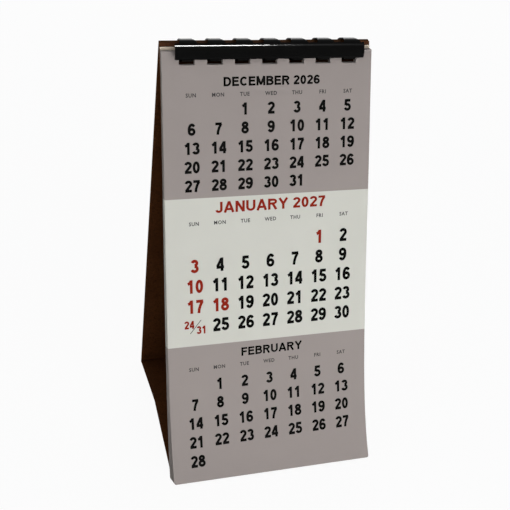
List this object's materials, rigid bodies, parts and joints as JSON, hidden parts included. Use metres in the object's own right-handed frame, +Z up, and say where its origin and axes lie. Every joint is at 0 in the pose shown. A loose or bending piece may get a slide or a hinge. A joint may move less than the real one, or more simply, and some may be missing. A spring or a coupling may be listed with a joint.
{
  "type": "stand up desk calendar",
  "caption": "Stand up desk calendar: a comb-bound pad of three-month leaves on a folding chipboard easel, with black plastic comb and creased base strip.",
  "frame": {"origin": "on the table, under the middle of the whole calendar", "axes": "+X along the comb to the reader's right, +Y towards the rear panel, +Z up"},
  "size_m": [0.1112, 0.1146, 0.2239],
  "materials": {
    "comb": "glossy black moulded comb",
    "chipboard": "matt brown chipboard",
    "card": "matt cream card",
    "leaf_paper": "matt uncoated paper with printed bands"
  },
  "bodies": {
    "stand": {"front_panel": "chipboard", "backing_card": "card", "comb_binding": "comb", "base_strip": "chipboard", "leaf_01_bound_edge": "leaf_paper", "leaf_02_bound_edge": "leaf_paper", "leaf_03_bound_edge": "leaf_paper", "leaf_04_bound_edge": "leaf_paper", "leaf_05_bound_edge": "leaf_paper", "leaf_06_bound_edge": "leaf_paper", "leaf_07_bound_edge": "leaf_paper", "leaf_08_bound_edge": "leaf_paper", "leaf_09_bound_edge": "leaf_paper", "leaf_10_bound_edge": "leaf_paper", "leaf_11_bound_edge": "leaf_paper", "leaf_12_bound_edge": "leaf_paper"},
    "rear_panel": {"rear_panel": "chipboard"},
    "pad": {"leaf_02_sheet": "leaf_paper", "leaf_03_sheet": "leaf_paper", "leaf_04_sheet": "leaf_paper", "leaf_05_sheet": "leaf_paper", "leaf_06_sheet": "leaf_paper", "leaf_07_sheet": "leaf_paper", "leaf_08_sheet": "leaf_paper", "leaf_09_sheet": "leaf_paper", "leaf_10_sheet": "leaf_paper", "leaf_11_sheet": "leaf_paper", "leaf_12_sheet": "leaf_paper"},
    "front_leaf": {"leaf_01_sheet": "leaf_paper"}
  },
  "joints": [
    {"name": "stand_fold", "type": "hinge", "parent": "stand", "child": "rear_panel", "pos_m": [0, 0.0177, 0.22085], "axis": [1, 0, 0], "range_deg": [-23.6, 0], "deforming": ["base_strip"]},
    {"name": "pad_turn", "type": "hinge", "parent": "stand", "child": "pad", "pos_m": [0, 0.00987, 0.20996], "axis": [1, 0, 0], "range_deg": [-60, 0]},
    {"name": "front_leaf_turn", "type": "hinge", "parent": "pad", "child": "front_leaf", "pos_m": [0, 0.00987, 0.20996], "axis": [1, 0, 0], "range_deg": [-75, 0]}
  ]
}
